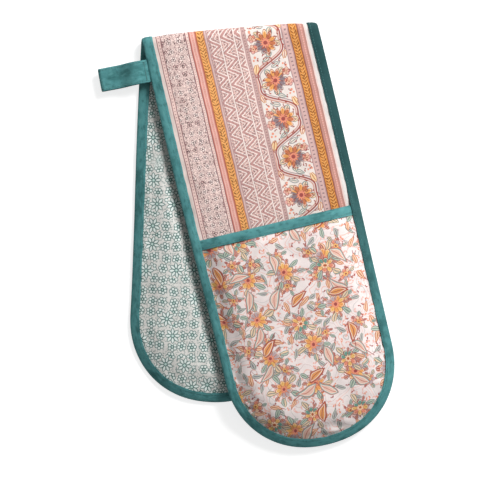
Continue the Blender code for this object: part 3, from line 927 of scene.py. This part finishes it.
class Cloth(Painter):
    """A cloth's material: a print on the strip's coordinates, weave and sheen."""

    def __init__(self, name, ground, roughness, sheen):
        self.material = bpy.data.materials.new(name)
        self.material.use_nodes = True
        super().__init__(self.material.node_tree, ground)
        surface = {"Roughness": roughness, "Sheen Weight": sheen, "Sheen Roughness": 0.5}
        self.set_shader({**surface, "Specular IOR Level": 0.25})
        place = add_node(self.tree, "UVMap", uv_map="strip")
        self.u, self.s = self.split("XYZ", place.outputs[0])
        self.wander = (self.noise(0.02, shift=2.2) - 0.5) * STRIPE_WANDER

    def set_shader(self, inputs):
        feed(self.tree, self.tree.nodes["Principled BSDF"], inputs)

    def split(self, kind, socket):
        """The first two numbers of a place or a colour."""
        outputs = add_node(self.tree, f"Separate{kind}", {0: socket}).outputs
        return Value(self.tree, outputs[0]), Value(self.tree, outputs[1])

    def vector(self, x, y):
        return add_node(self.tree, "CombineXYZ", {0: x, 1: y}).outputs[0]

    def noise(self, length, detail=2.0, stretch=1.0, shift=0.0):
        """Cloudy noise, about 0 to 1, with lumps of this length."""
        where = self.vector(self.u / length + shift, self.s / (length * stretch))
        slots = {"Vector": where, "Scale": 1, "Detail": detail}
        node = add_node(self.tree, "TexNoise", slots, noise_dimensions="2D")
        return Value(self.tree, node.outputs["Fac"])

    def warp(self, length, reach):
        """Bends the places that the following layers are painted in."""
        x = self.noise(length, detail=1.0, shift=12.6) - 0.5
        y = self.noise(length, detail=1.0, shift=17.9) - 0.5
        self.u, self.s = self.u + x * reach, self.s + y * reach

    def scatter(self, pitch, jitter, shift, turned=True):
        """Local (x, y) round the nearest of many scattered points, and a random number."""
        where = self.vector(self.u / pitch + shift, self.s / pitch + shift * 1.7)
        slots = {"Vector": where, "Scale": 1, "Randomness": jitter}
        cells = add_node(self.tree, "TexVoronoi", slots, voronoi_dimensions="2D").outputs
        offset = {0: where, 1: cells["Position"]}
        offset = add_node(self.tree, "VectorMath", offset, operation="SUBTRACT")
        x, y = (value * pitch for value in self.split("XYZ", offset.outputs[0]))
        angle, chance = self.split("Color", cells["Color"])
        if turned:
            angle = angle * (2 * math.pi)
            x, y = turn(x, y, angle.cosine(), angle.sine())
        return x, y, chance

    def finish(self, height=None, strength=0.3):
        """Weave and shading on top of the print."""
        thread = 2 * math.pi / WEAVE_PITCH
        weave = (self.u * thread).sine() * (self.s * thread).sine()
        fleck = self.noise(0.0011, detail=3.0, shift=3.3)
        wash = self.noise(0.009, detail=2.0, shift=8.6)
        shade = weave * WEAVE_TONE + (fleck - 0.5) * FLECK_TONE + (wash - 0.5) * WASH_TONE + 1.0
        tone = {0: self.colour, "Scale": shade}
        tone = add_node(self.tree, "VectorMath", tone, operation="SCALE")
        relief = weave * 0.5 + fleck
        relief = relief + height if height else relief
        bump = {"Strength": strength, "Distance": 0.0003, "Height": relief}
        normal = add_node(self.tree, "Bump", bump).outputs[0]
        self.set_shader({"Base Color": tone.outputs[0], "Normal": normal})
        return self.material


def turn(x, y, cos, sin):
    """(x, y) turned by an angle with this cosine and sine."""
    return x * cos + y * sin, y * cos - x * sin


def distance(x, y):
    return (x * x + y * y).power(0.5)


def sectors(x, y, count, start=0.0):
    """The direction from a centre, counted in equal sectors. It is never below 0."""
    return y.math("ARCTAN2", x) * (count / (2 * math.pi)) + (count + start)


def ring(x, y, count, start=0.0):
    """(out, aside) in the nearest of equal sectors round a centre, and which ones are odd."""
    around = sectors(x, y, count, start)
    swing = (around.fraction() - 0.5) * (2 * math.pi / count)
    away = distance(x, y)
    odd = (around / 2.0).fraction().above(0.5, 0.01)
    return away * swing.cosine(), away * swing.sine(), odd


# Prints.

WEAVE_PITCH = 0.0007
WEAVE_TONE = 0.05
FLECK_TONE = 0.14
WASH_TONE = 0.22
STRIPE_WANDER = 0.0012
ZIGZAG_PITCH = 0.0172
ZIGZAG_ROW = 0.0150
VINE_PITCH = 0.0826  # two bends
VINE_SWING = 0.0190
VINE_PHASE = 0.5

ORANGE = "#F3AC66"
CORAL = "#EC977B"
PEACH = "#F8D2AF"
YELLOW = "#F4C375"
TEAL = "#62A393"
SAGE = "#B3C0AA"
LILAC = "#BBAFB3"
BLUSH = "#EDB7AC"
CREAM = "#F8E9DC"
MAROON = "#A14E4B"
RUST = "#B9603F"
SLATE = "#6E7F7C"
TEAL_GREY = "#8FA39D"
GREEN_LINE = "#49716C"
BROWN_LINE = "#4A3234"
COOL_WHITE = "#E2E0DB"


def bloom(art, x, y, size, petals, keep, first, second, third, star, centre, edge):
    """Pointed petals in three colours, with ribs and an outline, round an inner star."""
    away = distance(x, y)
    around = sectors(x, y, petals)
    part = around.fraction()
    rib = (part - 0.5).absolute() * 2.0
    reach = ((rib + 0.35) * rib * -0.22 + 1.0) * size
    inside = (away - reach).below(0) * keep
    share = away / reach
    colour = art.blend_of(first, second, (around / 2.0).fraction().above(0.5, 0.01))
    colour = art.blend_of(colour, third, (around / petals).fraction().near(0.42, 0.17, 0.01))
    colour = art.blend_of(colour, CREAM, share.near(0.92, 0.035, 0.02) * 0.7)
    art.paint(colour, inside)
    strokes = ((part * 3.0).fraction() - 0.5).absolute().below(0.12, 0.08)
    strokes = strokes * share.within(0.40, 0.84, 0.06) * 0.7
    gaps = rib.above(0.86, 0.05) * share.above(0.45, 0.05) * 0.9
    rim = (away - reach).absolute().below(0.0003, FINE) * keep
    art.paint(edge, (strokes.most(gaps) * inside).most(rim))
    inner = ((around + 0.5).fraction() - 0.5).absolute() * 2.0
    reach = (inner * -0.45 + 1.0) * (size * 0.50)
    art.paint(star, (away - reach).below(0) * keep)
    art.paint(edge, (away - reach).absolute().below(0.00025, FINE) * keep)
    art.paint(centre, away.below(size * 0.17) * keep)


def leaf(art, x, y, length, width, curl, keep, rim, inside, edge):
    """A pointed leaf: a coloured rim, a hatched inside, a rib and an outline."""
    across = (y + (x * x) * curl).absolute()
    share = x / length
    swell = (share * share * -1.0 + 1.0).most(0.0) * (share * 0.4 + 1.0)
    off = across - swell * width
    there = share.absolute().below(0.98, 0.02) * keep
    core = (off + width * 0.42).below(0, FINE)
    colour = art.blend_of(rim, CREAM, (off + width * 0.28).below(0, FINE))
    colour = art.blend_of(colour, inside, core)
    art.paint(colour, off.below(0, FINE) * there)
    hatch = ((x + across * 1.3) / 0.0013).fraction().near(0.5, 0.20, 0.12) * 0.5
    rib = across.below(0.00035, FINE)
    outline = off.absolute().below(0.00030, FINE)
    art.paint(edge, (hatch.most(rib) * core).most(outline) * there)


def stem(art, x, y, length, curl, keep, colour):
    """A thin curved stem from the middle of a spray."""
    off = (y - (x * x) * curl).absolute().below(0.00035, FINE)
    art.paint(colour, off * x.above(0.0, 0.0005) * x.below(length, 0.0005) * keep)


def chosen(chance, share):
    """1 for this share of the scattered motifs."""
    return chance.ramp(1 - share, 1.02 - share)


def spray(cloth, pitch, shift, size, petals, colours, leaves, share):
    """Scattered blooms, each with two rings of pointed leaves behind it."""
    x, y, chance = cloth.scatter(pitch, 0.42, shift)
    keep = chosen(chance, share)
    out, aside, odd = ring(x, y, leaves)
    shades = (cloth.blend_of(TEAL, YELLOW, odd), cloth.blend_of(SAGE, PEACH, odd), SLATE)
    cloth.stamp(stem, out, aside, size * 1.6, 0.10 / size, keep, MAROON)
    size_and_curl = (size * 0.60, size * 0.24, 24)
    cloth.stamp(leaf, out - size * 1.35, aside, *size_and_curl, keep, *shades)
    out, aside, odd = ring(x, y, leaves, 0.5)
    shades = (cloth.blend_of(TEAL_GREY, TEAL, odd), CORAL, MAROON)
    size_and_curl = (size * 0.36, size * 0.15, 0)
    cloth.stamp(leaf, out - size * 1.10, aside, *size_and_curl, keep, *shades)
    cloth.stamp(bloom, x, y, size, petals, keep, *colours)


def strewn_leaves(cloth, pitch, shift, length, width, colours, share):
    """Scattered curved leaves, each on a short stem."""
    x, y, chance = cloth.scatter(pitch, 0.5, shift)
    keep = chosen(chance, share)
    cloth.stamp(stem, x + length * 1.5, y, length, 0.0, keep, MAROON)
    cloth.stamp(leaf, x, y, length, width, 20, keep, *colours)


def sprinkle(cloth, pitch, shift, colour, size, share, keep=1.0):
    """Scattered small marks, each a dash and a dot."""
    x, y, chance = cloth.scatter(pitch, 0.9, shift)
    near = distance(x, y * 2.0).below(size)
    by = distance(x - size * 1.3, y - size * 0.9).below(size * 0.55)
    cloth.paint(colour, near.most(by) * chosen(chance, share) * keep)


def pocket_print():
    """Flowers and curved leaves all over a pale pink ground."""
    cloth = Cloth("pocket_print", "#F1E4E1", 0.85, 0.10)
    cloth.warp(0.017, 0.0045)
    veins = cloth.noise(0.020, detail=0.5, shift=7.1)
    cloth.paint(CORAL, veins.near(0.5, 0.008, 0.005) * 0.6)
    cloth.paint(MAROON, veins.near(0.40, 0.005, 0.004) * 0.5)
    cloth.paint(SLATE, veins.near(0.60, 0.006, 0.004) * 0.5)
    sprinkle(cloth, 0.0066, 1.3, BLUSH, 0.0016, 0.60)
    sprinkle(cloth, 0.0074, 5.9, CORAL, 0.0015, 0.50)
    sprinkle(cloth, 0.0086, 9.4, MAROON, 0.0013, 0.40)
    strewn_leaves(cloth, 0.0142, 0.2, 0.0054, 0.0019, (SAGE, LILAC, SLATE), 0.58)
    strewn_leaves(cloth, 0.0170, 4.9, 0.0060, 0.0021, (ORANGE, PEACH, RUST), 0.45)
    buds = (CORAL, PEACH, LILAC, YELLOW, MAROON, MAROON)
    spray(cloth, 0.0290, 5.3, 0.0062, 7, buds, 3, 0.65)
    flowers = (YELLOW, ORANGE, LILAC, CORAL, MAROON, RUST)
    spray(cloth, 0.0420, 3.1, 0.0098, 9, flowers, 5, 0.80)
    flowers = (CORAL, YELLOW, TEAL, PEACH, RUST, MAROON)
    spray(cloth, 0.0500, 8.3, 0.0090, 8, flowers, 4, 0.60)
    strewn_leaves(cloth, 0.0350, 3.7, 0.0122, 0.0046, (TEAL_GREY, "#F3D0BF", "#C77465"), 0.68)
    strewn_leaves(cloth, 0.0410, 6.1, 0.0112, 0.0044, (RUST, ORANGE, MAROON), 0.50)
    return cloth.finish()


def lining_print():
    """Small outlined flowers, close together on a cool off-white."""
    cloth = Cloth("lining_print", COOL_WHITE, 0.88, 0.08)
    specks = cloth.noise(0.0022, detail=1.0, shift=3.9)
    cloth.paint("#98A19D", specks.ramp(0.56, 0.62) * 0.5)
    x, y, _ = cloth.scatter(0.0042, 0.8, 4.4)
    cloth.paint("#6F8985", distance(x, y).below(0.0007, FINE) * 0.7)
    x, y, _ = cloth.scatter(0.0116, 0.30, 1.9)
    round_flower(cloth, x, y, 0.0051, 6)
    x, y, chance = cloth.scatter(0.0240, 0.45, 6.2)
    star_flower(cloth, x, y, 0.0082, 8, chance.ramp(0.25, 0.27))
    return cloth.finish()


def round_flower(cloth, x, y, size, petals):
    """A flower of round petals, each with its own outline, round a small eye."""
    away = distance(x, y)
    along, side, _ = ring(x, y, petals)
    petal = distance(along - size * 0.64, side)
    cloth.paint("#E3EAE6", away.below(size * 1.05) * petal.below(size * 0.36))
    cloth.paint(GREEN_LINE, petal.near(size * 0.33, 0.00035, FINE))
    cloth.paint("#CFE2DC", away.below(size * 0.20))
    cloth.paint(GREEN_LINE, away.near(size * 0.22, 0.00028, FINE))


def star_flower(cloth, x, y, size, petals, keep):
    """A daisy with pointed petals in outline, over what lies under it."""
    away = distance(x, y)
    along, side, _ = ring(x, y, petals)
    share = (along / size - 0.60) / 0.42
    swell = (share * share * -1.0 + 1.0).most(0.0) * (size * 0.20)
    off = side.absolute() - swell
    petal = off.absolute().below(0.00040, FINE) * share.absolute().below(1.0, 0.05)
    cloth.paint(COOL_WHITE, away.below(size * 1.05, 0.0004) * keep)
    cloth.paint("#E6EEEA", off.below(0, FINE) * keep)
    cloth.paint(GREEN_LINE, petal * keep)
    cloth.paint("#C6DED7", away.below(size * 0.20) * keep)
    cloth.paint(GREEN_LINE, away.near(size * 0.21, 0.00035, FINE) * keep)


def banded_print():
    """Bands that run along the glove: filigree, stripes, zigzags and a flowering vine."""
    cloth = Cloth("banded_print", "#E8D8D1", 0.85, 0.10)
    paint_filigree(cloth, -0.0745, -0.0485)
    paint_zigzag(cloth, -0.0265, 0.0085)
    paint_vine(cloth, 0.0138, 0.0528)
    paint_left_stripes(cloth)
    paint_right_stripes(cloth)
    return cloth.finish()


def stripe(cloth, low, high, colour, line=None):
    """A stripe along the glove, with a darker line on either side where one is given."""
    across = cloth.u + cloth.wander
    cloth.paint(colour, across.within(low, high))
    for edge in (low, high) if line else ():
        cloth.paint(line, across.near(edge, 0.00045, FINE))


def dotted(cloth, at, pitch, size, colour):
    """A row of dots along the glove."""
    along = (cloth.s / pitch).fraction() * pitch - pitch / 2
    cloth.paint(colour, distance(cloth.u - at, along).below(size) * 0.85)


def marked(cloth, middle, reach):
    """A row of dark arrowheads along an orange stripe, with lighter ones between."""
    band = cloth.u.near(middle, reach, 0.0004)
    aside = (cloth.u - middle).absolute()
    row = ((cloth.s + cloth.wander + aside * 0.9) / 0.0033).fraction()
    worn = cloth.noise(0.0024, detail=1.0, shift=middle * 90)
    light = row.near(0.05, 0.16, 0.08) * aside.below(reach * 0.7, 0.0004)
    cloth.paint("#F2C27A", light * band * 0.7)
    strokes = row.near(0.5, 0.19, 0.09) * aside.within(0.0004, reach * 0.82)
    cloth.paint("#84441F", strokes * worn.ramp(0.28, 0.42) * band * 0.9)
    cloth.paint("#6B3A20", worn.ramp(0.62, 0.66) * band * 0.6)


def paint_left_stripes(cloth):
    stripe(cloth, -0.0900, -0.0795, "#E0CDC6")
    stripe(cloth, -0.0788, -0.0745, "#E9CAC2", "#94686A")
    dotted(cloth, -0.0767, 0.0034, 0.0006, "#8E5F60")
    stripe(cloth, -0.0482, -0.0447, "#F2D5CC", "#8E6266")
    dotted(cloth, -0.0464, 0.0026, 0.0005, "#BC857E")
    stripe(cloth, -0.0441, -0.0379, "#DE9B8E", "#B9695F")
    stripe(cloth, -0.0426, -0.0397, "#DE9488", "#F0C3B8")
    dotted(cloth, -0.0411, 0.0019, 0.0006, "#E9BCB0")
    stripe(cloth, -0.0371, -0.0290, "#F2AC66", "#B5663F")
    marked(cloth, -0.0331, 0.0036)
    stripe(cloth, -0.0285, -0.0263, "#DCBCB6", "#B4918F")
    dotted(cloth, -0.0246, 0.0034, 0.0009, "#A98384")


def paint_right_stripes(cloth):
    stripe(cloth, 0.0085, 0.0103, "#F1DAD3")
    stripe(cloth, 0.0103, 0.0138, "#CDA9A3", "#B99290")
    dotted(cloth, 0.0121, 0.0030, 0.0008, "#9C7978")
    stripe(cloth, 0.0527, 0.0590, "#D6B1AB", "#B28D8D")
    dotted(cloth, 0.0558, 0.0042, 0.0011, "#8A696E")
    dotted(cloth, 0.0558, 0.0021, 0.0004, "#EBD3CC")
    stripe(cloth, 0.0600, 0.0686, "#D58D48", "#7C3E2C")
    marked(cloth, 0.0643, 0.0036)
    stripe(cloth, 0.0695, 0.0752, "#CF998B", "#A97068")
    stripe(cloth, 0.0710, 0.0741, "#CB8F83", "#B3847A")
    dotted(cloth, 0.0725, 0.0026, 0.0007, "#DDB2A7")
    stripe(cloth, 0.0756, 0.0771, "#E6CCC4")
    stripe(cloth, 0.0772, 0.0900, "#DDD6D2")


def paint_filigree(cloth, low, high):
    """Fine curls and dots in rings, close together."""
    band = cloth.u.within(low, high)
    cloth.paint("#FFE6DD", band)
    curls = cloth.noise(0.0034, detail=1.2, shift=11.0)
    rings = (curls * 9.0).ping_pong(1.0)
    cloth.paint("#80545A", rings.near(0.5, 0.19, 0.10) * band * 0.95)
    x, y, chance = cloth.scatter(0.0090, 0.22, 2.4)
    away = distance(x, y)
    cloth.paint("#F8E6DF", away.below(0.0030) * band * chance.ramp(0.25, 0.30))
    petals = (y.math("ARCTAN2", x) * 3.0).sine() * 0.0007 + 0.0021
    cloth.paint("#7F5255", (away - petals).absolute().below(0.00038, FINE) * band)
    cloth.paint(BROWN_LINE, away.below(0.0008) * band)
    sprinkle(cloth, 0.0050, 7.7, BROWN_LINE, 0.0009, 0.45, band)


def paint_zigzag(cloth, low, high):
    """Rows of zigzags along the band, with nested triangles between them."""
    band = cloth.u.within(low, high)
    cloth.paint("#E3BEB5", band)
    share = ((cloth.u + cloth.wander - low) / ZIGZAG_ROW + 0.12).fraction()
    crest = (cloth.s / ZIGZAG_PITCH + 0.13).ping_pong(0.5) * 1.6 + 0.10
    off = (share - crest).absolute()
    fleck = cloth.noise(0.0024, detail=1.0, shift=5.5)
    cloth.paint("#946A6A", fleck.ramp(0.55, 0.62) * band * 0.8)
    x, y, _ = cloth.scatter(0.0030, 0.12, 1.2, turned=False)
    dots = distance(x, y).below(0.0007)
    cloth.paint("#855F61", dots * off.above(0.22, 0.03) * band * 0.9)
    cloth.paint("#B5817B", off.near(0.42, 0.028, 0.02) * band)
    cloth.paint("#FAEEE8", off.near(0.50, 0.028, 0.02) * band)
    cloth.paint("#FBF1EC", off.near(0.20, 0.040, 0.02) * band)
    cloth.paint("#A9716F", off.below(0.080, 0.03) * band)
    cloth.paint("#E8BDB4", off.below(0.028, 0.02) * band * 0.7)
    edge = share.most(share.opposite())
    cloth.paint("#F8EAE3", edge.above(0.965, 0.01) * band)
    cloth.paint("#B08785", edge.near(0.945, 0.010, 0.008) * band * 0.8)


def paint_vine(cloth, low, high):
    """A vine that winds along the band round a flower in each bend."""
    band = cloth.u.within(low, high)
    cloth.paint("#EEE2DB", band)
    middle = (low + high) / 2
    theta = cloth.s * (2 * math.pi / VINE_PITCH) + VINE_PHASE
    bend = (theta.sine() + (theta * 3.0).sine() * 0.16) * VINE_SWING
    slope = theta.cosine() + (theta * 3.0).cosine() * 0.48
    slope = slope * (VINE_SWING * 2 * math.pi / VINE_PITCH)
    off = (cloth.u - middle - bend) / (slope * slope + 1.0).power(0.5)
    cloth.paint("#8E6468", off.near(0.0022, 0.0005) * band * 0.8)
    cloth.paint("#CF9382", off.near(-0.0022, 0.0007, 0.0004) * band * 0.9)
    step = theta / math.pi
    side = (step.floor() * math.pi).cosine()
    along = (step.fraction() - 0.5) * (VINE_PITCH / 2)
    local = (cloth.u - middle) * side
    paint_bend(cloth, local, along, band)
    cloth.paint("#A05049", off.absolute().below(0.0008) * band)
    sprinkle(cloth, 0.0054, 8.8, "#A4564C", 0.0013, 0.60, band)


def paint_bend(cloth, x, y, band):
    """Berries, leaves, a flower and two buds, in one bend of the vine."""

    def berry(out, ahead, size):
        cloth.paint(CORAL, distance(x + out, y - ahead).below(size) * band)

    def side_leaf(out, ahead, angle, size, colours):
        place = turn(x - out, y - ahead, math.cos(angle), math.sin(angle))
        cloth.stamp(leaf, *place, size, size * 0.40, 0, band, *colours)

    berry(0.0150, 0.0130, 0.0013)
    berry(0.0168, 0.0160, 0.0011)
    berry(0.0128, 0.0165, 0.0010)
    berry(0.0150, -0.0135, 0.0013)
    berry(0.0125, -0.0160, 0.0011)
    side_leaf(0.0160, -0.0165, 1.25, 0.0068, (YELLOW, "#F9DDA6", RUST))
    side_leaf(0.0162, 0.0168, -1.25, 0.0056, (YELLOW, CREAM, RUST))
    side_leaf(-0.0050, -0.0168, 0.4, 0.0058, (LILAC, CREAM, SLATE))
    side_leaf(-0.0040, 0.0172, -0.5, 0.0050, (TEAL_GREY, CREAM, SLATE))
    flower = x + 0.0006
    out, aside, odd = ring(flower, y, 5, 0.3)
    shades = (cloth.blend_of(TEAL_GREY, YELLOW, odd), PEACH, SLATE)
    cloth.stamp(leaf, out - 0.0108, aside, 0.0052, 0.0028, 0, band, *shades)
    petals = (ORANGE, "#D27F58", "#8F8389", CORAL, MAROON, "#7C3C30")
    cloth.stamp(bloom, flower, y, 0.0126, 11, band, *petals)
    buds = (CORAL, "#F7CDB4", BLUSH, PEACH, MAROON, MAROON)
    cloth.stamp(bloom, x + 0.0145, y - 0.0040, 0.0050, 5, band, *buds)
    cloth.stamp(bloom, x + 0.0140, y + 0.0072, 0.0044, 5, band, *buds)


def teal_tape():
    """Brushed cotton tape: mottled, with a soft nap, and painted shade along its far stretch.
    """
    cloth = Cloth("teal_tape", "#529193", 0.80, 0.25)
    cloth.set_shader({"Sheen Tint": "#8FC2C0", "Sheen Roughness": 0.45})
    patches = cloth.noise(0.016, detail=3.0, stretch=1.5)
    cloth.paint("#2F6666", patches.ramp(0.48, 0.72) * 0.7)
    cloth.paint("#5B9C9C", patches.below(0.40, 0.10) * 0.5)
    streaks = cloth.noise(0.0035, detail=3.0, stretch=2.0, shift=1.0)
    cloth.paint("#285858", streaks.ramp(0.52, 0.75) * 0.5)
    cloth.paint("#6BA9A8", streaks.below(0.36, 0.08) * 0.35)
    # Painted shade: the tape's far stretch is painted darker. This stretch runs up the halves'
    # right sides and round the fold's right edge.
    cloth.paint("#163A3B", cloth.s.ramp(0.56, 0.86) * 0.92)
    return cloth.finish(patches * 0.6 + streaks * 0.6, 0.45)


def sewing_thread():
    """Spun thread, dyed like the tape."""
    cloth = Cloth("thread", "#467F7E", 0.6, 0.3)
    twist = ((cloth.u + cloth.s) / 0.0006).fraction()
    cloth.paint("#2C5F60", twist.below(0.30, 0.15))
    return cloth.finish()


# Light, floor and camera.


def seen_share(tree):
    """1 for rays from the camera or off a shiny or clear surface, which see it white."""
    rays = add_node(tree, "LightPath").outputs
    kinds = ("Is Camera Ray", "Is Glossy Ray", "Is Transmission Ray")
    seen, glossy, through = (Value(tree, rays[kind]) for kind in kinds)
    return seen.most(glossy).most(through)


def add_floor():
    """A white floor that keeps the glove's shadow but doesn't grey out in the picture."""
    corners = np.array(((-1, -1, 0), (1, -1, 0), (1, 1, 0), (-1, 1, 0)), float)
    floor = make_object("floor", corners * FLOOR_REACH, [[0, 1, 2, 3]])
    material = bpy.data.materials.new("floor")
    material.use_nodes = True
    tree = material.node_tree
    shader = tree.nodes["Principled BSDF"]
    dull = {"Base Color": "#CBCBCB", "Roughness": 1.0, "Specular IOR Level": 0.0}
    feed(tree, shader, dull)
    glow = add_node(tree, "Emission", {"Strength": seen_share(tree) * FLOOR_GLOW})
    both = add_node(tree, "AddShader", {0: shader.outputs[0], 1: glow.outputs[0]})
    feed(tree, tree.nodes["Material Output"], {"Surface": both.outputs[0]})
    floor.data.materials.append(material)
    floor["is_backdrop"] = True


def add_world():
    world = bpy.data.worlds.new("studio")
    bpy.context.scene.world = world
    world.use_nodes = True
    tree = world.node_tree
    strength = seen_share(tree) * (1 - ROOM_LIGHT) + ROOM_LIGHT
    feed(tree, tree.nodes["Background"], {"Color": "#FFFFFF", "Strength": strength})


def add_key_light():
    light = bpy.data.lights.new("key", "AREA")
    light.shape = "RECTANGLE"
    light.size = light.size_y = KEY_SIZE
    light.energy = KEY_POWER
    lamp = add_object("key", light)
    lamp.location = KEY_PLACE
    lamp.rotation_euler = (-Vector(KEY_PLACE)).to_track_quat("-Z", "Y").to_euler()


def add_camera():
    camera = bpy.data.cameras.new("photo")
    camera.sensor_width = SENSOR
    camera.lens = SENSOR * (CAMERA_HEIGHT - LOOK_HEIGHT) / FRAME_WIDTH
    view = add_object("photo", camera)
    view.location = (*CENTRE, CAMERA_HEIGHT)
    view.rotation_euler = (0, 0, -math.radians(ROLL))
    bpy.context.scene.camera = view


# Pieces on their bodies.


def blend_line(half, side):
    """Two points at the mouth: one at the tape's inner edge on one side, and one mid-strip."""
    edge = side * (half.half_width(half.mouth) - BINDING_WIDTH)
    x, d = half.place(half.mouth, 0.0)
    x, y = HINGE[0] + x, HINGE[1] - d
    return (x + edge * COSINE, y + half.side * edge * SINE, 0.0), (x, y, 0.0)


def add_half(half):
    """The half, its edge tape and its pocket. Returns the tape's length."""
    body = f"{half.name}_half"
    cloth = make_cover_and_lining(half)
    edge, tape_length = make_edge_binding(half)
    for piece in cloth + edge:
        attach(piece, body)
    for side, piece in (*make_pocket(half), *make_mouth_tape(half)):
        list(blend_line(half, side))
        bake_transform(piece)
    return tape_length


def add_fold(front_tape):
    """The cloth and tape that roll round the fold, on from the front half's tape."""
    pieces = make_fold()
    for side, name, _ in SIDES:
        pieces += make_fold_binding(side, name, front_tape)
    low, high = ((HINGE[0], HINGE[1], AXIS_HEIGHT + k * BEND_RADIUS) for k in (-1, 1))
    for piece in pieces:
        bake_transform(piece)
        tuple(low)
        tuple(high)


def add_loop():
    for piece in (*make_loop(), make_bar_tack()):
        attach(piece, "hanging_loop_swing")


def listed(box):
    return [[float(value) for value in corner] for corner in box]


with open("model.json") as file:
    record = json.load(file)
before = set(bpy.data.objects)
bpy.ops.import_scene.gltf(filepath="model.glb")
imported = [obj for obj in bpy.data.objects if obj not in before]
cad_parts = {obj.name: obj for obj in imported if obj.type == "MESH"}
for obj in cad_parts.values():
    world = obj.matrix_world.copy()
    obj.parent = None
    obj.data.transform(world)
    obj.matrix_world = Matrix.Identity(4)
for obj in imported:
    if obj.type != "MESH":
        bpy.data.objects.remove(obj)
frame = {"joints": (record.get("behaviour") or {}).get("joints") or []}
cad_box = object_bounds()
HINGE = next(j["pos_m"] for j in frame["joints"] if j["name"] == "fold_hinge")
LOOKS = {
    "banded_print": banded_print(),
    "pocket_print": pocket_print(),
    "lining_print": lining_print(),
    "teal_tape": teal_tape(),
    "thread": sewing_thread(),
}
add_half(REAR)
front_tape = add_half(FRONT)
add_fold(front_tape)
add_loop()
add_floor()
add_world()
add_key_light()
add_camera()
bpy.context.scene.view_settings.view_transform = "Standard"
boxes = {"cad": listed(cad_box), "visual": listed(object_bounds())}
